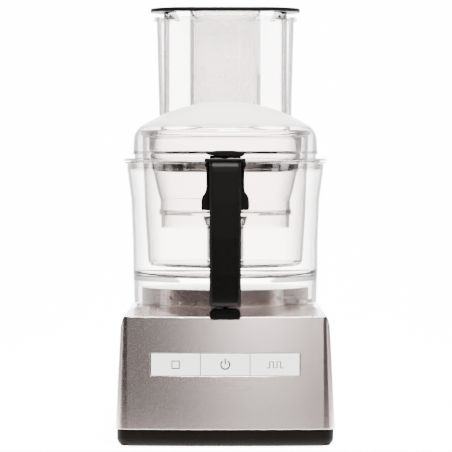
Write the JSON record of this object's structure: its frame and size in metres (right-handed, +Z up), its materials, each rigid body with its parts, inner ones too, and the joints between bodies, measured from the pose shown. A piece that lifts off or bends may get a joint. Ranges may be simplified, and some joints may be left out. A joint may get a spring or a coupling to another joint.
{
  "type": "food processor",
  "caption": "Countertop food processor: motor base with push keys, clear bowl with front handle, nested smaller bowls and blade inside, domed lid, feed chute and pushers.",
  "frame": {"origin": "on the table under the drive shaft, at the centre of the bounding box's bottom face", "axes": "+Z up along the drive shaft, -Y towards the front (handle and keys), +X to the machine's right as seen from the front"},
  "size_m": [0.21, 0.285, 0.4277],
  "materials": {
    "housing": "satin silver with a faint warm tint",
    "tray": "fine moulded black",
    "rubber": "matt",
    "steel": "machined",
    "screw": "zinc plated",
    "key": "satin white",
    "black": "satin black",
    "board": "solder mask",
    "switch": "moulded",
    "relay": "moulded",
    "capacitor": "drawn can",
    "core": "stacked sheet steel",
    "copper": "enamelled wire",
    "alloy": "die cast",
    "fan": "moulded",
    "clear": "clear, polished",
    "clear_lid": "clear, polished",
    "clear_pusher": "clear, polished",
    "grey_pusher": "light grey, translucent",
    "bush": "acetal",
    "hub": "moulded grey",
    "knife": "polished, ground edge"
  },
  "bodies": {
    "base": {"base_housing": "housing", "base_tray": "tray", "rubber_feet": "rubber", "tray_screws": "screw", "shaft_seal": "rubber", "cord_gland": "rubber", "interlock_block": "black", "control_board": "board", "tact_switches": "switch", "board_screws": "screw", "board_relay": "relay", "run_capacitor": "capacitor", "motor_stator": "core", "motor_windings": "copper", "motor_upper_bell": "alloy", "motor_lower_bell": "alloy", "motor_bearings": "steel", "motor_mounts": "rubber", "motor_bolts": "screw", "interlock_switch": "switch"},
    "rotor": {"motor_rotor": "core", "cooling_fan": "fan", "drive_shaft": "steel", "shaft_collar": "bush"},
    "stop": {"stop_key": "key"},
    "auto": {"auto_key": "key"},
    "pulse": {"pulse_key": "key"},
    "plunger": {"switch_plunger": "black"},
    "bowl_column": {"column_bush": "bush"},
    "bowl": {"main_bowl": "clear", "handle_grip": "black", "handle_cover": "black", "handle_screws": "screw", "handle_bracket": "black", "bracket_pins": "screw"},
    "rod": {"interlock_rod": "black"},
    "midi": {"midi_bowl": "clear"},
    "mini": {"mini_bowl": "clear"},
    "blade": {"blade_hub": "hub", "blade_knives": "knife"},
    "lid_centre": {"lid_bearing": "bush"},
    "lid_top": {"lid": "clear_lid", "lid_catch": "black"},
    "pusher_outer": {"large_pusher": "clear_pusher", "pusher_rim": "black"},
    "pusher_inner": {"small_pusher": "grey_pusher"}
  },
  "joints": [
    {"name": "motor_spin", "type": "hinge", "parent": "base", "child": "rotor", "pos_m": [0, 0, 0], "axis": [0, 0, 1], "continuous": true},
    {"name": "stop_press", "type": "slide", "parent": "base", "child": "stop", "axis": [0, 0.9986, -0.0523], "range_m": [0, 0.0016], "stiffness_N_per_m": 500, "springref_m": -0.0006},
    {"name": "auto_press", "type": "slide", "parent": "base", "child": "auto", "axis": [0, 0.9986, -0.0523], "range_m": [0, 0.0016], "stiffness_N_per_m": 500, "springref_m": -0.0006},
    {"name": "pulse_press", "type": "slide", "parent": "base", "child": "pulse", "axis": [0, 0.9986, -0.0523], "range_m": [0, 0.0016], "stiffness_N_per_m": 500, "springref_m": -0.0006},
    {"name": "plunger_rise", "type": "slide", "parent": "base", "child": "plunger", "axis": [0, 0, 1], "range_m": [0, 0.002]},
    {"name": "bowl_lift", "type": "slide", "parent": "base", "child": "bowl_column", "axis": [0, 0, 1], "range_m": [0, 0.2]},
    {"name": "bowl_turn", "type": "hinge", "parent": "bowl_column", "child": "bowl", "pos_m": [0, 0, 0], "axis": [0, 0, 1], "range_deg": [0, 25]},
    {"name": "rod_rise", "type": "slide", "parent": "bowl", "child": "rod", "axis": [0, 0, 1], "range_m": [0, 0.0035]},
    {"name": "midi_lift", "type": "slide", "parent": "bowl", "child": "midi", "axis": [0, 0, 1], "range_m": [0, 0.12]},
    {"name": "mini_lift", "type": "slide", "parent": "midi", "child": "mini", "axis": [0, 0, 1], "range_m": [0, 0.1]},
    {"name": "blade_spin", "type": "hinge", "parent": "mini", "child": "blade", "pos_m": [0, 0, 0], "axis": [0, 0, 1], "continuous": true},
    {"name": "lid_lift", "type": "slide", "parent": "mini", "child": "lid_centre", "axis": [0, 0, 1], "range_m": [0, 0.12]},
    {"name": "lid_turn", "type": "hinge", "parent": "lid_centre", "child": "lid_top", "pos_m": [0, 0, 0], "axis": [0, 0, 1], "range_deg": [0, 30]},
    {"name": "pusher_lift", "type": "slide", "parent": "lid_top", "child": "pusher_outer", "axis": [0, 0, 1], "range_m": [0, 0.11]},
    {"name": "small_pusher_lift", "type": "slide", "parent": "pusher_outer", "child": "pusher_inner", "axis": [0, 0, 1], "range_m": [0, 0.1]}
  ],
  "couplings": [
    {"joint": "blade_spin", "follows": "motor_spin", "ratio": 1},
    {"joint": "rod_rise", "follows": "lid_turn", "m_per_rad": 0.006665},
    {"joint": "plunger_rise", "follows": "lid_turn", "m_per_rad": 0.003801}
  ]
}
